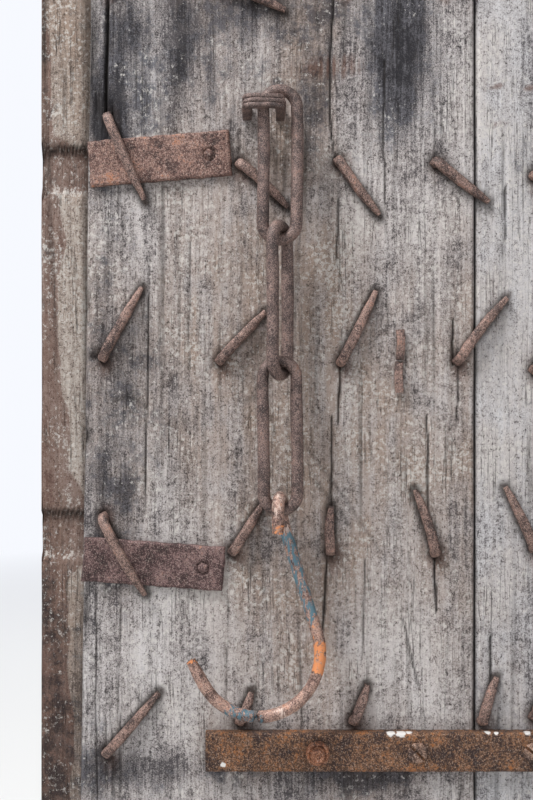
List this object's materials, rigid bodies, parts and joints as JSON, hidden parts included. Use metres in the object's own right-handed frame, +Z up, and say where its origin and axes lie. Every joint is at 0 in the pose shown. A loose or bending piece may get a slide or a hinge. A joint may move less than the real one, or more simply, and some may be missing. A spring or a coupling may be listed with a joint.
{
  "type": "arched wooden door",
  "caption": "Round-headed plank door in a pegged oak frame, hung on strap hinges, with clinched nails and a chained hook on its inner face.",
  "frame": {"origin": "middle of the sill's underside, halfway through the frame's depth", "axes": "+Z up, +Y outdoors, +X towards the hinge jamb; at rest the leaf stands open at a right angle and reaches along -Y"},
  "size_m": [1.224, 1.1945, 2.1719],
  "materials": {
    "frame_oak": "weathered oak",
    "inner_planks": "weathered grey wood",
    "outer_boards": "weathered oak",
    "nail_iron": "rusty",
    "chain_iron": "rusty",
    "edge_strap_iron": "rusty",
    "strap_iron": "rusty, pitted"
  },
  "bodies": {
    "frame": {"sill": "frame_oak", "hinge_jamb": "frame_oak", "latch_jamb": "frame_oak", "head_segment_1": "frame_oak", "head_segment_2": "frame_oak", "head_segment_3": "frame_oak", "frame_pegs": "frame_oak", "keeper_staple": "strap_iron", "lower_pintle": "strap_iron", "upper_pintle": "strap_iron"},
    "leaf": {"chain_staple": "chain_iron", "edge_strap_nails": "nail_iron", "free_stile": "outer_boards", "hinge_stile": "outer_boards", "inner_plank_1": "inner_planks", "inner_plank_2": "inner_planks", "inner_plank_3": "inner_planks", "inner_plank_4": "inner_planks", "lower_edge_strap": "edge_strap_iron", "lower_hinge_strap": "strap_iron", "lower_strap_bolts": "strap_iron", "lower_strap_screws": "strap_iron", "nail_row_1": "nail_iron", "nail_row_10": "nail_iron", "nail_row_11": "nail_iron", "nail_row_12": "nail_iron", "nail_row_13": "nail_iron", "nail_row_14": "nail_iron", "nail_row_15": "nail_iron", "nail_row_2": "nail_iron", "nail_row_3": "nail_iron", "nail_row_4": "nail_iron", "nail_row_5": "nail_iron", "nail_row_6": "nail_iron", "nail_row_7": "nail_iron", "nail_row_8": "nail_iron", "nail_row_9": "nail_iron", "outer_board_1": "outer_boards", "outer_board_2": "outer_boards", "outer_board_3": "outer_boards", "outer_board_4": "outer_boards", "outer_board_5": "outer_boards", "outer_board_6": "outer_boards", "outer_board_7": "outer_boards", "outer_board_8": "outer_boards", "ring_pull_plate": "strap_iron", "split_pin": "strap_iron", "upper_edge_strap": "edge_strap_iron", "upper_hinge_strap": "strap_iron", "upper_strap_bolts": "strap_iron", "upper_strap_screws": "strap_iron"},
    "link_1": {"chain_link_1": "chain_iron"},
    "link_2": {"chain_link_2": "chain_iron"},
    "link_3": {"chain_link_3": "chain_iron"},
    "hook": {"hook": "chain_iron"},
    "ring_pull": {"ring_pull": "strap_iron"}
  },
  "joints": [
    {"name": "leaf_swing", "type": "hinge", "parent": "frame", "child": "leaf", "pos_m": [0.56, -0.06655, 0.95], "axis": [0, 0, 1], "range_deg": [-90, 75]},
    {"name": "link_1_sway", "type": "hinge", "parent": "leaf", "child": "link_1", "pos_m": [0.56395, -0.98005, 0.8343], "axis": [1, 0, 0], "range_deg": [-24, 75]},
    {"name": "link_2_lift", "type": "hinge", "parent": "link_1", "child": "link_2", "pos_m": [0.56395, -0.98005, 0.74935], "axis": [-0.454, -0.891, 0], "range_deg": [0, 75]},
    {"name": "link_3_sway", "type": "hinge", "parent": "link_2", "child": "link_3", "pos_m": [0.56395, -0.98005, 0.66285], "axis": [1, 0, 0], "range_deg": [-75, 75]},
    {"name": "hook_lift", "type": "hinge", "parent": "link_3", "child": "hook", "pos_m": [0.56395, -0.98005, 0.57635], "axis": [0, -1, 0], "range_deg": [-2, 100]},
    {"name": "ring_lift", "type": "hinge", "parent": "leaf", "child": "ring_pull", "pos_m": [0.47535, -0.90105, 0.673], "axis": [0, 1, 0], "range_deg": [0, 90]}
  ]
}
